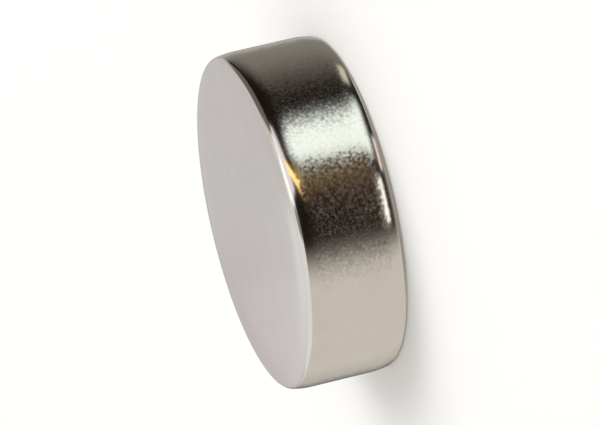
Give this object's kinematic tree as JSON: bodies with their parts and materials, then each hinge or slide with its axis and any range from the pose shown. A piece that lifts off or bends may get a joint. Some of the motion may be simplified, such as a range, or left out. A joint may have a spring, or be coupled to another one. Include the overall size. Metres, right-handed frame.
{
  "type": "disc magnet",
  "caption": "Flat round magnet, bright nickel plated, with softly rounded edges; holds steel parts or notes, or seats in a round pocket.",
  "frame": {"origin": "centre of the lower face, on the surface that the disc rests on", "axes": "+Z along the disc's axis, from the lower face to the upper face"},
  "size_m": [0.01, 0.01, 0.003],
  "materials": {
    "nickel_plate": "bright nickel plate over a tumbled surface, mirror-like with a fine grain"
  },
  "bodies": {
    "root": {"disc_magnet": "nickel_plate"}
  },
  "joints": []
}
